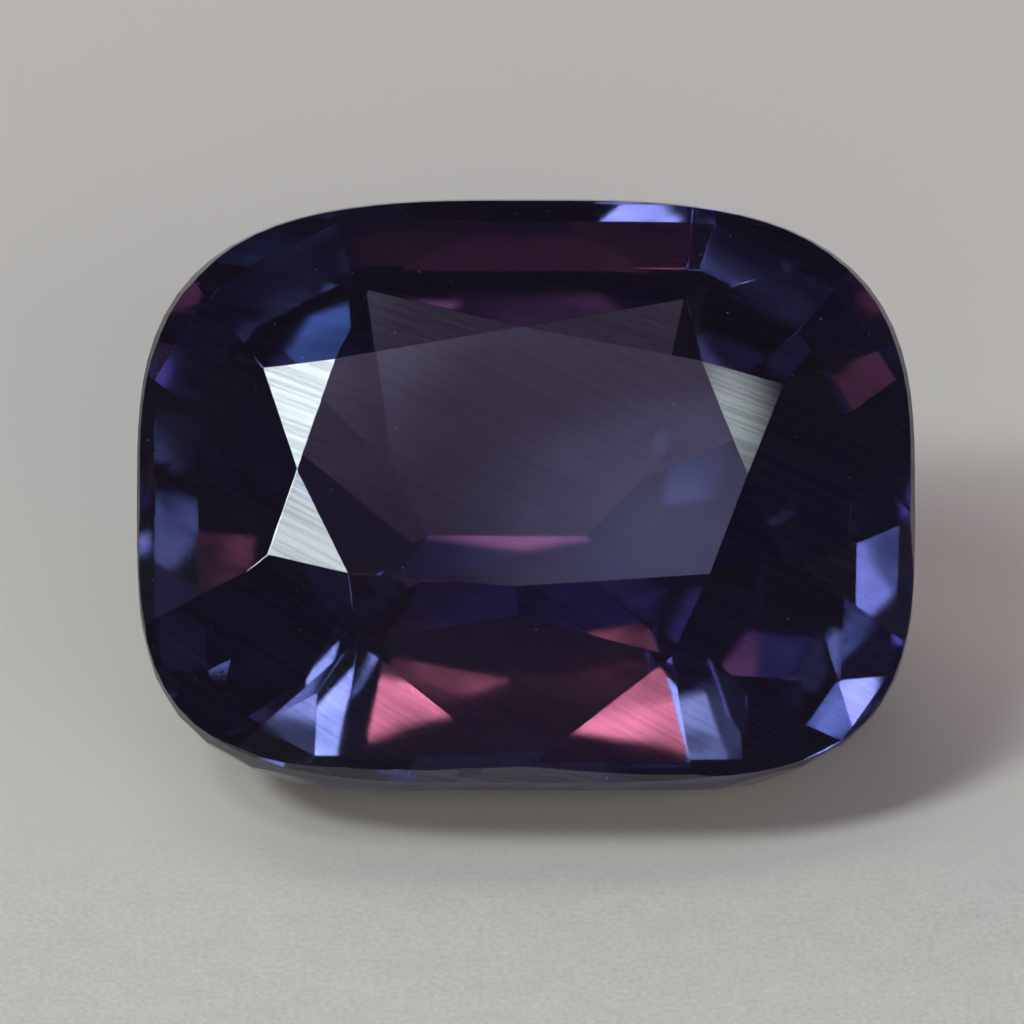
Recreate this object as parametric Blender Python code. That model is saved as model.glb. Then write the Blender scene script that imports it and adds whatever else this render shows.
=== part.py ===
"""A loose cushion cut alexandrite, lying on the front facet of its underside.

The stone is worked out in millimetres with its table level and its girdle top at height 0,
x to the right, y to the back. Every facet is one flat cut through a block. The finished stone
is then leaned forward onto the facet that it rests on.
"""

import math

import bmesh
import bpy
from mathutils import Matrix, Vector

METRES_PER_MM = 0.001

# Overall size in millimetres
LENGTH = 9.0
WIDTH = 7.14
CROWN_HEIGHT = 0.70

# How square the outline is: 2 would be an ellipse, and a higher power has tighter corners
SQUARENESS_BACK = 3.15
SQUARENESS_FRONT = 3.6

# Girdle: a rounded wall of narrow flats, with a small bevel where the crown meets it
GIRDLE_FLATS = 96
GIRDLE_BEVEL_WIDTH = 0.07
GIRDLE_BEVEL_DROP = 0.16
GIRDLE_FOOT = -0.42
UNDERCUT_SLOPE = 78.0
UNDERCUT_FLATS = 24

# Corners of the table, clockwise from the back, as (x, y)
TABLE_CORNERS = (
    (-0.05, 1.70),
    (2.03, 1.28),
    (2.56, -0.10),
    (2.12, -1.32),
    (-0.12, -1.47),
    (-2.05, -1.31),
    (-2.64, -0.05),
    (-2.20, 1.31),
)

# Outer point of each star facet, between one table corner and the next: (x, y, drop below the table)
STAR_POINTS = (
    (1.85, 2.10, 0.16),
    (2.98, 1.05, 0.15),
    (2.95, -1.08, 0.16),
    (1.68, -2.25, 0.21),
    (-1.95, -2.08, 0.18),
    (-2.98, -1.03, 0.16),
    (-3.04, 1.25, 0.15),
    (-1.82, 2.21, 0.17),
)

# The front main facet starts below the table, where the two front stars meet
FRONT_MAIN = 4
FRONT_MAIN_TOP = (-0.28, -1.68, CROWN_HEIGHT - 0.04)

# Where the two ends of each main facet's foot lie on the girdle, as directions in degrees
MAIN_FEET = (
    (89.0, 91.0),
    (32.0, 38.0),
    (-5.5, -4.0),
    (-49.7, -36.7),
    (-91.5, -90.5),
    (-140.4, -136.5),
    (-178.5, -176.5),
    (143.0, 147.0),
)

# Direction of the point on the girdle where each pair of break facets meets
BREAK_MIDDLES = (60.5, 22.0, -22.7, -61.0, -121.5, -159.5, 157.5, 119.5)

# Two pairs of break facets start this far down the ridge between their main facets
BREAK_GAPS = {2: 0.27, 5: 0.30}

# Underside: three rows of step facets, which start at these heights
STEP_TOPS = (-0.75, -1.55, -2.45)

# Direction each column of steps faces, the slopes of its steps, and how far out it stands
STEP_COLUMNS = (
    (0, (62.0, 52.0, 37.4), 0.0),
    (33, (63.0, 51.0, 37.2), 0.0),
    (62, (64.0, 52.0, 39.5), 0.0),
    (90, (66.0, 54.0, 39.2), 0.06),
    (118, (64.0, 52.0, 40.5), 0.0),
    (147, (63.0, 51.0, 38.8), 0.0),
    (180, (62.0, 52.0, 44.0), 0.0),
    (213, (63.0, 51.0, 38.4), 0.0),
    (242, (64.0, 52.0, 40.0), 0.0),
    (270, (66.0, 54.0, 38.0), -0.06),
    (298, (64.0, 52.0, 39.5), 0.0),
    (327, (63.0, 51.0, 37.0), 0.0),
)

# The stone rests on the lowest step of its front column, so it leans by that step's slope
REST_SLOPE = 38.0

# Vertices closer to a cut than this count as lying on it
ON_CUT = 0.0003

STONE_COLOUR = (0.12, 0.07, 0.20, 1.0)


def outline_point(degrees, height=0.0, inset=0.0):
    """Point of the outline in this direction, at this height."""
    angle = math.radians(degrees)
    across = math.cos(angle)
    along = math.sin(angle)
    power = SQUARENESS_FRONT if along < 0 else SQUARENESS_BACK
    half_length = LENGTH / 2 - inset
    half_width = WIDTH / 2 - inset
    size = (abs(across / half_length) ** power + abs(along / half_width) ** power) ** (-1 / power)
    return Vector((size * across, size * along, height))


def even_directions(count):
    """Directions that space points evenly round the outline."""
    fine = [step * 0.05 for step in range(7201)]
    points = [outline_point(degrees) for degrees in fine]
    run = [0.0]
    for before, after in zip(points, points[1:]):
        run.append(run[-1] + (after - before).length)
    directions = []
    place = 0
    for index in range(count):
        wanted = index / count * run[-1]
        while run[place + 1] < wanted:
            place += 1
        share = (wanted - run[place]) / (run[place + 1] - run[place])
        directions.append(fine[place] + 0.05 * share)
    return directions


def reach(degrees):
    """How far the outline reaches in this direction."""
    angle = math.radians(degrees)
    way = Vector((math.cos(angle), math.sin(angle), 0.0))
    return max(outline_point(step * 0.1).dot(way) for step in range(3600))


def upward_cut(first, second, third):
    """Cut through three points, as (point, normal that faces up and out)."""
    normal = (second - first).cross(third - first).normalized()
    if normal.z < 0:
        normal.negate()
    return first, normal


def underside_cut(degrees, slope, radius, height):
    """Cut of the underside that faces this way and passes this far from the middle at this height."""
    angle = math.radians(degrees)
    lean = math.radians(slope)
    point = Vector((radius * math.cos(angle), radius * math.sin(angle), height))
    normal = Vector((math.sin(lean) * math.cos(angle), math.sin(lean) * math.sin(angle), -math.cos(lean)))
    return point, normal


def height_on(cut, place):
    """The same place, moved up or down onto the cut."""
    point, normal = cut
    rise = ((point.x - place.x) * normal.x + (point.y - place.y) * normal.y) / normal.z
    return Vector((place.x, place.y, point.z + rise))


def crown_cuts():
    """Table, stars, main facets and break facets."""
    corners = [Vector((x, y, CROWN_HEIGHT)) for x, y in TABLE_CORNERS]
    stars = [Vector((x, y, CROWN_HEIGHT - drop)) for x, y, drop in STAR_POINTS]
    cuts = [(Vector((0.0, 0.0, CROWN_HEIGHT)), Vector((0.0, 0.0, 1.0)))]
    for index in range(8):
        cuts.append(upward_cut(corners[index], corners[(index + 1) % 8], stars[index]))
    mains = []
    for index in range(8):
        top = Vector(FRONT_MAIN_TOP) if index == FRONT_MAIN else corners[index]
        mains.append(upward_cut(top, stars[index - 1], stars[index]))
    cuts += mains
    for index in range(8):
        after = (index + 1) % 8
        start = outline_point(MAIN_FEET[index][0], 0.0, GIRDLE_BEVEL_WIDTH)
        end = outline_point(MAIN_FEET[after][1], 0.0, GIRDLE_BEVEL_WIDTH)
        start = height_on(mains[index], start)
        end = height_on(mains[after], end)
        middle = outline_point(BREAK_MIDDLES[index], (start.z + end.z) / 2, GIRDLE_BEVEL_WIDTH)
        apex = stars[index].copy()
        if index in BREAK_GAPS:
            ridge = mains[index][1].cross(mains[after][1]).normalized()
            if ridge.x * apex.x + ridge.y * apex.y < 0:
                ridge.negate()
            apex += ridge * BREAK_GAPS[index]
        cuts.append(upward_cut(apex, start, middle))
        cuts.append(upward_cut(apex, middle, end))
    return cuts


def girdle_cuts():
    """The wall's narrow flats, and the bevel above them."""
    directions = even_directions(GIRDLE_FLATS)
    cuts = []
    for index, direction in enumerate(directions):
        following = directions[(index + 1) % GIRDLE_FLATS]
        here = outline_point(direction)
        there = outline_point(following)
        side = there - here
        cuts.append((here, Vector((side.y, -side.x, 0.0)).normalized()))
        inner = outline_point(direction, 0.0, GIRDLE_BEVEL_WIDTH)
        inner_next = outline_point(following, 0.0, GIRDLE_BEVEL_WIDTH)
        cuts.append(upward_cut(inner, inner_next, outline_point(direction, -GIRDLE_BEVEL_DROP)))
    return cuts


def underside_cuts():
    """The steep undercut below the girdle, then the rows of steps down to the keel."""
    cuts = []
    for index in range(UNDERCUT_FLATS):
        direction = index * 360.0 / UNDERCUT_FLATS
        cuts.append(underside_cut(direction, UNDERCUT_SLOPE, reach(direction), GIRDLE_FOOT))
    undercut_run = (GIRDLE_FOOT - STEP_TOPS[0]) / math.tan(math.radians(UNDERCUT_SLOPE))
    for direction, slopes, out in STEP_COLUMNS:
        radius = reach(direction) + out - undercut_run
        for row, slope in enumerate(slopes):
            cuts.append(underside_cut(direction, slope, radius, STEP_TOPS[row]))
            if row + 1 < len(STEP_TOPS):
                fall = STEP_TOPS[row] - STEP_TOPS[row + 1]
                radius -= fall / math.tan(math.radians(slope))
    return cuts


def cut_off(shape, point, normal):
    """Remove everything beyond the cut and close the solid with one flat facet."""
    cut = bmesh.ops.bisect_plane(
        shape,
        geom=shape.verts[:] + shape.edges[:] + shape.faces[:],
        dist=ON_CUT,
        plane_co=point,
        plane_no=normal,
        clear_outer=True,
    )
    rim = [item for item in cut["geom_cut"] if isinstance(item, bmesh.types.BMEdge)]
    rim = [edge for edge in rim if len(edge.link_faces) == 1]
    if rim:
        bmesh.ops.edgeloop_fill(shape, edges=rim)


def stone_shape():
    """The whole stone, cut from one block."""
    shape = bmesh.new()
    bmesh.ops.create_cube(shape, size=20.0)
    for point, normal in girdle_cuts() + crown_cuts() + underside_cuts():
        cut_off(shape, point, normal)
    bmesh.ops.dissolve_degenerate(shape, dist=ON_CUT, edges=shape.edges[:])
    bmesh.ops.recalc_face_normals(shape, faces=shape.faces[:])
    return shape


def lean_and_settle(shape):
    """Lean the stone onto its resting facet and put the origin under the middle of its base."""
    bmesh.ops.rotate(
        shape,
        verts=shape.verts[:],
        cent=(0.0, 0.0, 0.0),
        matrix=Matrix.Rotation(math.radians(REST_SLOPE), 3, "X"),
    )
    lowest = min(vert.co.z for vert in shape.verts)
    middle_x = (min(vert.co.x for vert in shape.verts) + max(vert.co.x for vert in shape.verts)) / 2
    middle_y = (min(vert.co.y for vert in shape.verts) + max(vert.co.y for vert in shape.verts)) / 2
    for vert in shape.verts:
        vert.co -= Vector((middle_x, middle_y, lowest))
        vert.co *= METRES_PER_MM


def clear_scene():
    for item in list(bpy.data.objects):
        bpy.data.objects.remove(item, do_unlink=True)


def stone_material():
    material = bpy.data.materials.new("alexandrite_crystal")
    material.use_nodes = True
    shader = material.node_tree.nodes["Principled BSDF"]
    shader.inputs["Base Color"].default_value = STONE_COLOUR
    shader.inputs["Roughness"].default_value = 0.02
    shader.inputs["IOR"].default_value = 1.75
    shader.inputs["Transmission Weight"].default_value = 1.0
    return material


clear_scene()
stone = stone_shape()
lean_and_settle(stone)
mesh = bpy.data.meshes.new("alexandrite")
stone.to_mesh(mesh)
stone.free()
mesh.materials.append(stone_material())
bpy.context.scene.collection.objects.link(bpy.data.objects.new("alexandrite", mesh))
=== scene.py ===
"""A loose cushion cut alexandrite on pale paper.

Wide soft lights give the paper, the girdle and the crown their light. The small coloured lamps
reach the crystal alone and light single facets inside it. They were set to match one photo.
"""

import math
import bpy
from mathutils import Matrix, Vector


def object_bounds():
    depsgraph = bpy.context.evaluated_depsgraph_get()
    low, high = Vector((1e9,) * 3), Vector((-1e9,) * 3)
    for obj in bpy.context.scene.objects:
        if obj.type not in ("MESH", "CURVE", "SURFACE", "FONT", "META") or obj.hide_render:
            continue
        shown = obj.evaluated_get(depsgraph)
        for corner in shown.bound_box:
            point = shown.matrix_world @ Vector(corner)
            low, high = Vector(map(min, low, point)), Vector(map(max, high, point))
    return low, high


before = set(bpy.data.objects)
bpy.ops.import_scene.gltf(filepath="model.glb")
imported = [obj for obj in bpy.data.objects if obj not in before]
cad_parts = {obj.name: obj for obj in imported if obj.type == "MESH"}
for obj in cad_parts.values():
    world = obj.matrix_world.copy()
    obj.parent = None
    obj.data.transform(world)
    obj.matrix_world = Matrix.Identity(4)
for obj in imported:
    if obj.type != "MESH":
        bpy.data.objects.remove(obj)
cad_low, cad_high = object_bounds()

MM = 0.001
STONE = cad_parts["alexandrite"]

# The stone leans forward by this angle, in degrees, onto its front underside facet
LEAN = 38.0

# Middle of the girdle's top edge: how far it lies behind the front of the stone's box, and above its base
GIRDLE_BEHIND_FRONT = 2.81 * MM
GIRDLE_ABOVE_BASE = 3.43 * MM
GIRDLE_MIDDLE = Vector((0.0, cad_low.y + GIRDLE_BEHIND_FRONT, cad_low.z + GIRDLE_ABOVE_BASE))

# Photo framing: the camera looks down at 33 degrees through a long lens
CAMERA_ELEVATION = 33.0
CAMERA_DISTANCE = 0.40
CAMERA_NEAR = 0.01
CAMERA_FAR = 10.0
SENSOR = 36.0
PIXELS = 1024
PIXELS_PER_MM = 86.5
GIRDLE_MIDDLE_PIXEL = (526.0, 484.0)

# The crystal: refraction, and what a metre of it absorbs in red, green and blue
CRYSTAL_IOR = 1.75
ABSORPTION = (395.0, 412.0, 272.0)
DENSITY_MARGIN = 1.1

# Points closer than this are joined, and faces that differ by less than this angle are one facet
SAME_POINT = 0.001 * MM
SAME_FACET_ANGLE = 0.3

# Facets that meet at a larger angle than this have a worn edge: its width, and the angle in degrees
EDGE_ROUND = 0.0035 * MM
EDGE_ANGLE = 5.0

# The facets are polished and the girdle's wall is matt
POLISH_ROUGHNESS = 0.06
GIRDLE_ROUGHNESS = 0.38

# A facet's tilt is 0 on the girdle's wall and 1 on the table: where polish starts and is full,
# and, coming from the table, where the fine lines start and are full
POLISH_TILT = (0.05, 0.12)
TABLE_TILT = (0.995, 0.985)

# Each noise has its size, and then its detail and roughness.
# Polishing leaves each facet a little wavy: height and size of the waves
WAVE_HEIGHT = 0.008 * MM
WAVE_SIZE = 1.7 * MM
WAVE_NOISE = (1.0, 0.4)

# It also leaves fine lines: how far apart they are, how much they change along their run,
# which way they run and how that varies, how sharp they are, and how much light they hold back
LINE_SIZE = 0.04 * MM
LINE_NOISE = (0.0, 0.5)
LINE_DRIFT = 0.03
LINE_AXIS = (1.38, -0.61, -0.40)
LINE_VARIETY = 0.5
LINE_CONTRAST = (0.38, 0.62)
LINE_SHADE = 0.22
GIRDLE_SHADE = 0.38

# Specks of dust: how far apart they may lie, and their radius
DUST_CELL = 0.30 * MM
DUST_SIZE = 0.010 * MM
DUST_ROUGHNESS = 0.9

# The paper and its grain, which is a mix of fine fibres and a share of broader clouds
PAPER_SIZE = 2.0
PAPER_COLOUR = (0.775, 0.768, 0.67)
PAPER_ROUGHNESS = 0.9
PAPER_SPECULAR = 0.1
PAPER_FIBRE = 0.07 * MM
FIBRE_NOISE = (3.0, 0.65)
PAPER_CLOUD = 0.45 * MM
CLOUD_NOISE = (2.0, 0.5)
CLOUD_SHARE = 0.3
PAPER_MOTTLE = 0.48

# Where the grain starts and where it is full, along y. The paper is smooth further back
GRAIN_START = -1.6 * MM
GRAIN_FULL = -4.0 * MM

# The paper lies this far below the stone. Where the two touch, large areas inside the stone render black
PAPER_GAP = 0.03 * MM

LIGHT_DISTANCE = 0.30

# Weak tints of the wide lights
COOL = (0.84, 0.95, 1.0)
SOFT = (1.0, 0.94, 0.93)
WARM = (1.0, 0.85, 0.80)

# Strong lamp colours that are seen mirrored in the table
VIOLET = (0.80, 0.60, 1.0)
SLATE = (0.48, 0.50, 1.0)

# Strong lamp colours, named for how they look once they have crossed the crystal.
# As sent out, rose and plum are orange, lavender is yellow green and blue is green
ROSE = (1.0, 0.31, 0.125)
PLUM = (1.0, 0.62, 0.50)
LAVENDER = (0.80, 1.0, 0.46)
BLUE = (0.42, 1.0, 0.75)

# Wide even lights: name, azimuth from the back towards the right, elevation, half width and
# half height in degrees, colour and strength
SOFTBOXES = (
    ("key", -125.0, 46.5, 6.0, 4.5, COOL, 30.0),
    ("back_left", -44.0, 34.0, 15.0, 8.0, WARM, 1.7),
    ("above_left", -130.0, 61.0, 6.0, 5.0, COOL, 9.0),
    ("front_right", 165.0, 47.5, 4.0, 3.0, WARM, 1.2),
    ("low_left", -72.0, 34.0, 8.0, 6.0, WARM, 0.9),
    ("low_right", 124.0, 24.0, 8.0, 5.0, WARM, 1.4),
    ("low_front", -150.0, 12.0, 9.0, 6.0, WARM, 0.9),
)

# Wide lights that fall on the paper alone
PAPER_LIGHTS = (
    ("paper_fill", 168.0, 24.0, 30.0, 14.0, SOFT, 1.95),
    ("high_back", -30.0, 70.0, 18.0, 13.0, WARM, 1.05),
)

# A wide light that falls on the crystal alone
CRYSTAL_LIGHT = ("front_left", -168.0, 36.0, 6.0, 4.0, COOL, 8.0)

# Small lamps that fall on the crystal alone and fade from a bright middle to nothing at the rim:
# name, azimuth, elevation, half width, half height, colour in the middle, colour further out, strength.
# Their directions and strengths were set to match the patches of one photo
FLASHES = (
    ("star_left_low", -142.0, 53.5, 8.0, 7.0, COOL, COOL, 10.0),
    ("star_left_high", -118.0, 68.5, 8.0, 7.0, COOL, COOL, 14.0),
    ("star_right", 118.5, 69.5, 9.0, 7.0, COOL, COOL, 4.6),
    ("haze", 180.0, 71.0, 9.0, 5.0, VIOLET, VIOLET, 0.09),
    ("rose_left_low", 173.4, 53.0, 2.3, 2.0, ROSE, ROSE, 205.0),
    ("rose_left_high", 174.0, 61.8, 1.4, 1.2, ROSE, ROSE, 50.0),
    ("rose_left_streak", 175.2, 55.2, 1.5, 1.1, ROSE, ROSE, 90.0),
    ("rose_right_low", -171.7, 50.4, 2.3, 2.0, ROSE, ROSE, 175.0),
    ("rose_right_high", -172.6, 59.3, 1.6, 1.5, ROSE, ROSE, 170.0),
    ("rose_right_streak", -175.7, 54.4, 1.4, 1.0, ROSE, ROSE, 80.0),
    ("bar", 180.0, 79.6, 3.5, 2.4, ROSE, PLUM, 27.0),
    ("wedge_left", 106.6, 35.9, 2.4, 2.4, LAVENDER, BLUE, 150.0),
    ("wedge_left_high", 100.0, 36.4, 2.5, 2.5, LAVENDER, BLUE, 110.0),
    ("wedge_left_blue", 122.9, 38.5, 3.0, 3.0, LAVENDER, BLUE, 70.0),
    ("wedge_left_low", 99.7, 10.2, 3.0, 3.0, LAVENDER, BLUE, 90.0),
    ("wedge_left_side", 132.7, 32.1, 2.5, 2.5, LAVENDER, BLUE, 14.0),
    ("wedge_right", -161.8, 50.3, 2.6, 2.6, LAVENDER, BLUE, 50.0),
    ("wedge_right_low", -166.0, 43.8, 2.2, 2.2, LAVENDER, BLUE, 36.0),
    ("wedge_right_side", -102.8, 32.8, 2.2, 2.2, LAVENDER, BLUE, 14.0),
    ("right_lavender", -157.1, 21.1, 3.2, 3.2, LAVENDER, BLUE, 100.0),
    ("right_edge", -163.0, 13.0, 2.1, 2.1, LAVENDER, BLUE, 80.0),
    ("right_blue", 97.6, 53.5, 3.0, 3.0, LAVENDER, BLUE, 70.0),
    ("right_side", -121.9, 4.2, 3.5, 3.5, LAVENDER, BLUE, 140.0),
    ("right_red", 153.1, 26.8, 1.8, 1.8, ROSE, ROSE, 30.0),
    ("table_side", -173.9, 23.3, 2.5, 2.5, LAVENDER, BLUE, 12.0),
    ("back_blue", -110.8, 38.0, 2.0, 1.9, LAVENDER, BLUE, 150.0),
    ("back_side", -96.4, 38.8, 2.0, 2.0, LAVENDER, BLUE, 60.0),
    ("back_low", -116.4, 0.6, 4.0, 4.0, LAVENDER, BLUE, 180.0),
    ("left_blue", 83.6, 45.7, 3.5, 3.0, BLUE, BLUE, 26.0),
    ("left_low", 145.9, 10.5, 3.5, 3.5, LAVENDER, BLUE, 24.0),
)

# A near lamp of the same kind gives the right of the table a soft sheen: how far away it is
SHEEN_DISTANCE = 0.05
SHEEN = ("sheen", 173.6, 69.6, 3.8, 2.8, SLATE, SLATE, 1.45)

SKY_LOW = (0.105, 0.086, 0.135)
SKY_HIGH = (0.080, 0.062, 0.130)

# How often light may be passed on: in and on the crystal, and by the paper
CRYSTAL_BOUNCES = 7
PAPER_BOUNCES = 1


def way(azimuth, elevation):
    """Unit vector towards this azimuth (from +Y towards +X) and elevation."""
    around = math.radians(azimuth)
    up = math.radians(elevation)
    return Vector((math.sin(around) * math.cos(up), math.cos(around) * math.cos(up), math.sin(up)))


def new_material(name):
    material = bpy.data.materials.new(name)
    material.use_nodes = True
    return material, material.node_tree


def node(tree, kind, **values):
    made = tree.nodes.new(kind)
    for name, value in values.items():
        setattr(made, name, value)
    return made


def feed(tree, value, socket):
    """Link the socket to another node's output, or give it a fixed value."""
    if isinstance(value, bpy.types.NodeSocket):
        tree.links.new(value, socket)
    else:
        socket.default_value = value


def math_node(tree, operation, first, second):
    made = node(tree, "ShaderNodeMath", operation=operation)
    feed(tree, first, made.inputs[0])
    feed(tree, second, made.inputs[1])
    return made.outputs["Value"]


def vector_node(tree, operation, first, second=None):
    made = node(tree, "ShaderNodeVectorMath", operation=operation)
    feed(tree, first, made.inputs[0])
    if second is not None:
        feed(tree, second, made.inputs[1])
    return made.outputs["Value" if operation in ("DOT_PRODUCT", "LENGTH") else "Vector"]


def scaled(tree, vector, factor):
    made = node(tree, "ShaderNodeVectorMath", operation="SCALE")
    feed(tree, vector, made.inputs[0])
    feed(tree, factor, made.inputs["Scale"])
    return made.outputs["Vector"]


def split(tree, vector):
    """The vector's three parts, as outputs named X, Y and Z."""
    made = node(tree, "ShaderNodeSeparateXYZ")
    tree.links.new(vector, made.inputs["Vector"])
    return made.outputs


def combined(tree, *parts):
    """A vector from one to three outputs. The others stay 0."""
    made = node(tree, "ShaderNodeCombineXYZ")
    for part, socket in zip(parts, made.inputs):
        tree.links.new(part, socket)
    return made.outputs["Vector"]


def mixed(tree, kind, factor, first, second):
    """The first value where the factor is 0, the second where it is 1."""
    made = node(tree, "ShaderNodeMix", data_type=kind)
    tree.links.new(factor, made.inputs["Factor"])
    feed(tree, first, made.inputs["A"])
    feed(tree, second, made.inputs["B"])
    return made.outputs["Result"]


def noise(tree, place, size, detail, roughness):
    made = node(tree, "ShaderNodeTexNoise")
    made.inputs["Scale"].default_value = 1 / size
    made.inputs["Detail"].default_value = detail
    made.inputs["Roughness"].default_value = roughness
    tree.links.new(place, made.inputs["Vector"])
    return made.outputs["Fac"]


def step_between(tree, value, start, end):
    """0 up to the start, 1 from the end on."""
    made = node(tree, "ShaderNodeMapRange", clamp=True)
    made.inputs["From Min"].default_value = start
    made.inputs["From Max"].default_value = end
    tree.links.new(value, made.inputs["Value"])
    return made.outputs["Result"]


def facet_line_places(tree, place, facing, drift):
    """Places for lines that run one way over a whole facet, and another way on the next."""
    sides = split(tree, facing)
    turned = combined(tree, sides["Y"], sides["Z"], sides["X"])
    axis = vector_node(tree, "ADD", scaled(tree, turned, LINE_VARIETY), LINE_AXIS)
    across = vector_node(tree, "NORMALIZE", vector_node(tree, "CROSS_PRODUCT", facing, axis))
    spread = combined(tree, vector_node(tree, "DOT_PRODUCT", place, across))
    return vector_node(tree, "ADD", spread, drift)


def girdle_ring_places(tree, place, upright, drift):
    """Places for lines that run round the girdle's wall."""
    level = combined(tree, vector_node(tree, "DOT_PRODUCT", place, upright))
    return vector_node(tree, "ADD", level, drift)


def light_past_lines(tree, lines, tilt, polished):
    """The lines hold back a little of the light that crosses or leaves the surface.

    The table is the best polished, and has none.
    """
    facet_shade = math_node(tree, "MULTIPLY", step_between(tree, tilt, *TABLE_TILT), LINE_SHADE)
    matt = math_node(tree, "SUBTRACT", 1.0, polished)
    girdle_extra = math_node(tree, "MULTIPLY", matt, GIRDLE_SHADE - LINE_SHADE)
    shade = math_node(tree, "ADD", facet_shade, girdle_extra)
    return math_node(tree, "SUBTRACT", 1.0, math_node(tree, "MULTIPLY", lines, shade))


def surface_roughness(tree, place, polished):
    """Polished facets, a matt girdle, and round specks of dust.

    A speck lies wherever the middle of a cell is close to the surface.
    """
    gloss = math_node(tree, "MULTIPLY", polished, POLISH_ROUGHNESS - GIRDLE_ROUGHNESS)
    smooth = math_node(tree, "ADD", gloss, GIRDLE_ROUGHNESS)
    cells = node(tree, "ShaderNodeTexVoronoi")
    cells.inputs["Scale"].default_value = 1 / DUST_CELL
    tree.links.new(place, cells.inputs["Vector"])
    speck = math_node(tree, "LESS_THAN", cells.outputs["Distance"], DUST_SIZE / DUST_CELL)
    return math_node(tree, "MAXIMUM", smooth, math_node(tree, "MULTIPLY", speck, DUST_ROUGHNESS))


def wavy_normal(tree, place):
    bump = node(tree, "ShaderNodeBump")
    bump.inputs["Strength"].default_value = 1.0
    bump.inputs["Distance"].default_value = 1.0
    waves = noise(tree, place, WAVE_SIZE, *WAVE_NOISE)
    tree.links.new(math_node(tree, "MULTIPLY", waves, WAVE_HEIGHT), bump.inputs["Height"])
    return bump.outputs["Normal"]


def absorbing_volume(tree):
    """The node absorbs its density times what its colour lacks, so the density tops all three."""
    volume = node(tree, "ShaderNodeVolumeAbsorption")
    density = max(ABSORPTION) * DENSITY_MARGIN
    volume.inputs["Density"].default_value = density
    volume.inputs["Color"].default_value = (*(1 - part / density for part in ABSORPTION), 1.0)
    return volume.outputs["Volume"]


def crystal_material():
    material, tree = new_material("alexandrite_crystal")
    shader = tree.nodes["Principled BSDF"]
    shader.inputs["IOR"].default_value = CRYSTAL_IOR
    shader.inputs["Transmission Weight"].default_value = 1.0
    place = node(tree, "ShaderNodeTexCoord").outputs["Object"]
    facing = node(tree, "ShaderNodeNewGeometry").outputs["True Normal"]
    upright = (0.0, -math.sin(math.radians(LEAN)), math.cos(math.radians(LEAN)))
    tilt = math_node(tree, "ABSOLUTE", vector_node(tree, "DOT_PRODUCT", facing, upright), 0.0)
    polished = step_between(tree, tilt, *POLISH_TILT)

    drift = scaled(tree, place, LINE_DRIFT)
    rings = girdle_ring_places(tree, place, upright, drift)
    facet_lines = facet_line_places(tree, place, facing, drift)
    line_places = mixed(tree, "VECTOR", polished, rings, facet_lines)
    lines = step_between(tree, noise(tree, line_places, LINE_SIZE, *LINE_NOISE), *LINE_CONTRAST)
    line_light = light_past_lines(tree, lines, tilt, polished)

    tree.links.new(line_light, shader.inputs["Specular Tint"])
    tree.links.new(line_light, shader.inputs["Base Color"])
    tree.links.new(surface_roughness(tree, place, polished), shader.inputs["Roughness"])
    tree.links.new(wavy_normal(tree, place), shader.inputs["Normal"])
    tree.links.new(absorbing_volume(tree), tree.nodes["Material Output"].inputs["Volume"])
    return material


def dress_stone():
    STONE.data.materials.clear()
    STONE.data.materials.append(crystal_material())
    weld = STONE.modifiers.new("join_facets", "WELD")
    weld.merge_threshold = SAME_POINT
    flatten = STONE.modifiers.new("whole_facets", "DECIMATE")
    flatten.decimate_type = "DISSOLVE"
    flatten.angle_limit = math.radians(SAME_FACET_ANGLE)
    bevel = STONE.modifiers.new("worn_edges", "BEVEL")
    bevel.width = EDGE_ROUND
    bevel.segments = 1
    bevel.limit_method = "ANGLE"
    bevel.angle_limit = math.radians(EDGE_ANGLE)
    bevel.use_clamp_overlap = False


def paper_material():
    material, tree = new_material("pale_paper")
    shader = tree.nodes["Principled BSDF"]
    shader.inputs["Roughness"].default_value = PAPER_ROUGHNESS
    shader.inputs["Specular IOR Level"].default_value = PAPER_SPECULAR
    place = node(tree, "ShaderNodeTexCoord").outputs["Object"]
    nearness = step_between(tree, split(tree, place)["Y"], GRAIN_START, GRAIN_FULL)
    fibres = noise(tree, place, PAPER_FIBRE, *FIBRE_NOISE)
    clouds = noise(tree, place, PAPER_CLOUD, *CLOUD_NOISE)
    grain = math_node(tree, "ADD", fibres, math_node(tree, "MULTIPLY", clouds, CLOUD_SHARE))
    # Both noises lie round a half, so this is the grain's middle value
    usual = 0.5 * (1 + CLOUD_SHARE)
    change = math_node(tree, "MULTIPLY", math_node(tree, "SUBTRACT", grain, usual), nearness)
    shade = math_node(tree, "ADD", math_node(tree, "MULTIPLY", change, PAPER_MOTTLE), 1.0)
    tree.links.new(scaled(tree, PAPER_COLOUR, shade), shader.inputs["Base Color"])
    return material


def make_floor():
    bpy.ops.mesh.primitive_plane_add(size=PAPER_SIZE, location=(0.0, 0.0, -PAPER_GAP))
    floor = bpy.context.object
    floor.name = "paper"
    floor.data.materials.append(paper_material())
    return floor


def reach_of(thing):
    """A group that holds one object, for lights that reach that object alone."""
    group = bpy.data.collections.new(thing.name + "_alone")
    group.objects.link(thing)
    return group


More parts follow.
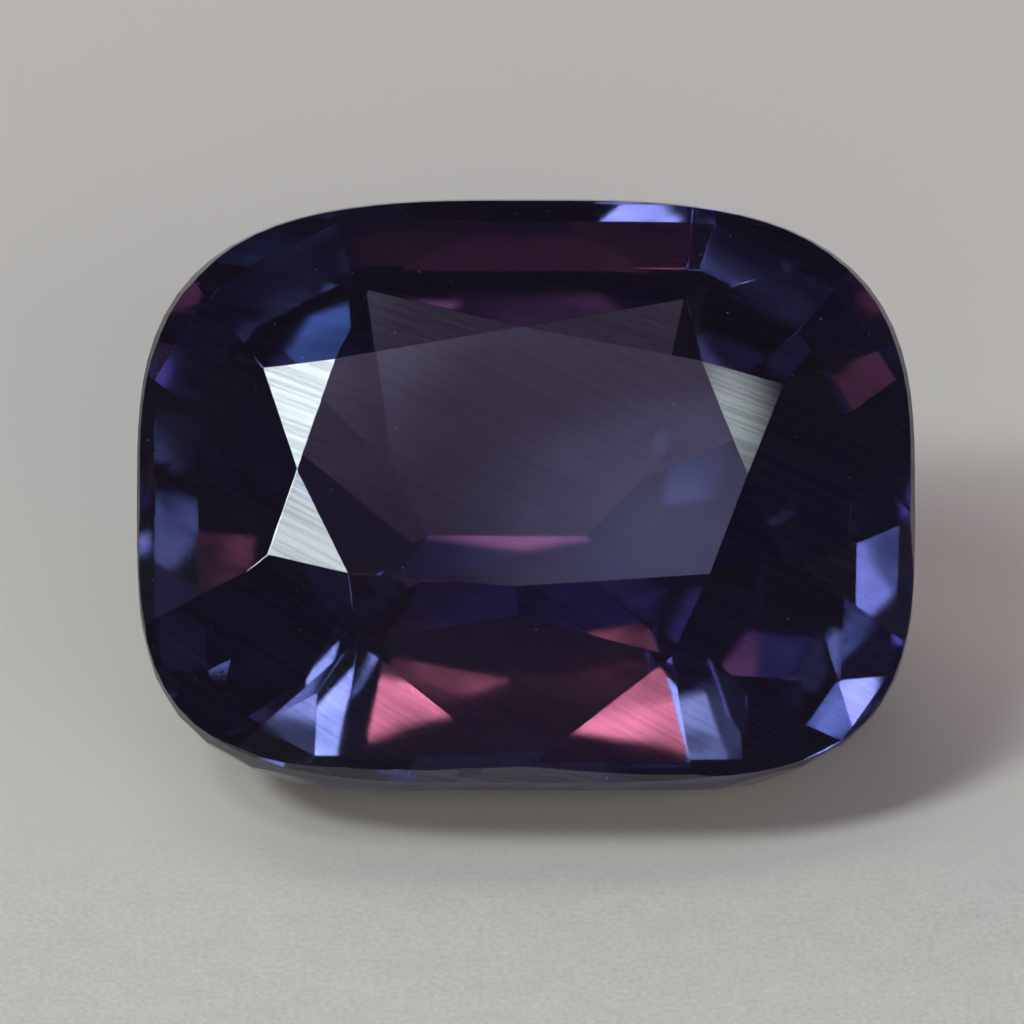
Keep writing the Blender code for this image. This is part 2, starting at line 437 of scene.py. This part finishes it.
def make_light(name, azimuth, elevation, half_width, half_height, distance, strength):
    """A flat light that faces the stone. Its strength is what each part of it sends out."""
    data = bpy.data.lights.new(name, "AREA")
    data.shape = "RECTANGLE"
    data.size = 2 * distance * math.tan(math.radians(half_width))
    data.size_y = 2 * distance * math.tan(math.radians(half_height))
    data.energy = strength * math.pi * data.size * data.size_y
    lamp = bpy.data.objects.new(name, data)
    direction = way(azimuth, elevation)
    lamp.location = GIRDLE_MIDDLE + direction * distance
    lamp.rotation_mode = "QUATERNION"
    lamp.rotation_quaternion = direction.to_track_quat("Z", "Y")
    lamp.visible_camera = False
    bpy.context.scene.collection.objects.link(lamp)
    return lamp


def make_softbox(name, azimuth, elevation, half_width, half_height, colour, strength):
    lamp = make_light(name, azimuth, elevation, half_width, half_height, LIGHT_DISTANCE, strength)
    lamp.data.color = colour
    return lamp


def distance_on_lamp(tree, lamp):
    """0 in the middle of the lamp, 1 at the middle of each side."""
    place = node(tree, "ShaderNodeNewGeometry").outputs["Position"]
    offset = vector_node(tree, "SUBTRACT", place, tuple(lamp.location))
    turn = lamp.rotation_quaternion
    across = turn @ Vector((2 / lamp.data.size, 0.0, 0.0))
    upward = turn @ Vector((0.0, 2 / lamp.data.size_y, 0.0))
    steps = [vector_node(tree, "DOT_PRODUCT", offset, tuple(side)) for side in (across, upward)]
    return vector_node(tree, "LENGTH", combined(tree, *steps))


def make_flash(
    group, distance, name, azimuth, elevation, half_width, half_height, middle, outer, strength
):
    lamp = make_light(name, azimuth, elevation, half_width, half_height, distance, strength)
    lamp.light_linking.receiver_collection = group
    lamp.data.use_nodes = True
    tree = lamp.data.node_tree
    glow = step_between(tree, distance_on_lamp(tree, lamp), 1.0, 0.0)
    glow.node.interpolation_type = "SMOOTHSTEP"
    emission = tree.nodes["Emission"]
    colour = mixed(tree, "RGBA", glow, (*outer, 1.0), (*middle, 1.0))
    tree.links.new(colour, emission.inputs["Color"])
    tree.links.new(glow, emission.inputs["Strength"])


def make_sky():
    world = bpy.data.worlds.new("soft_room")
    world.use_nodes = True
    bpy.context.scene.world = world
    tree = world.node_tree
    direction = node(tree, "ShaderNodeTexCoord").outputs["Generated"]
    height = step_between(tree, split(tree, direction)["Z"], 0.0, 1.0)
    colour = mixed(tree, "RGBA", height, (*SKY_LOW, 1.0), (*SKY_HIGH, 1.0))
    tree.links.new(colour, tree.nodes["Background"].inputs["Color"])


def make_camera():
    data = bpy.data.cameras.new("camera")
    camera = bpy.data.objects.new("camera", data)
    bpy.context.scene.collection.objects.link(camera)
    back = way(180.0, CAMERA_ELEVATION)
    right = Vector((1.0, 0.0, 0.0))
    up = back.cross(right)
    pixel = MM / PIXELS_PER_MM
    aim = GIRDLE_MIDDLE + right * (PIXELS / 2 - GIRDLE_MIDDLE_PIXEL[0]) * pixel
    aim += up * (GIRDLE_MIDDLE_PIXEL[1] - PIXELS / 2) * pixel
    camera.location = aim + back * CAMERA_DISTANCE
    camera.rotation_mode = "QUATERNION"
    camera.rotation_quaternion = back.to_track_quat("Z", "Y")
    data.sensor_width = SENSOR
    data.lens = SENSOR * CAMERA_DISTANCE / (PIXELS * pixel)
    data.clip_start = CAMERA_NEAR
    data.clip_end = CAMERA_FAR
    bpy.context.scene.camera = camera


def settle_render():
    scene = bpy.context.scene
    scene.view_settings.view_transform = "Standard"
    scene.cycles.max_bounces = CRYSTAL_BOUNCES
    scene.cycles.transmission_bounces = CRYSTAL_BOUNCES
    scene.cycles.glossy_bounces = CRYSTAL_BOUNCES
    scene.cycles.diffuse_bounces = PAPER_BOUNCES
    scene.cycles.volume_bounces = 0
    scene.cycles.caustics_reflective = False
    scene.cycles.caustics_refractive = False
    scene.cycles.blur_glossy = 0.0
    scene.cycles.sample_clamp_indirect = 0.0
    scene.cycles.use_denoising = True


def make_lights(paper):
    for softbox in SOFTBOXES:
        make_softbox(*softbox)
    paper_alone = reach_of(paper)
    for softbox in PAPER_LIGHTS:
        make_softbox(*softbox).light_linking.receiver_collection = paper_alone
    crystal_alone = reach_of(STONE)
    make_softbox(*CRYSTAL_LIGHT).light_linking.receiver_collection = crystal_alone
    for flash in FLASHES:
        make_flash(crystal_alone, LIGHT_DISTANCE, *flash)
    make_flash(crystal_alone, SHEEN_DISTANCE, *SHEEN)


dress_stone()
make_lights(make_floor())
make_sky()
make_camera()
settle_render()
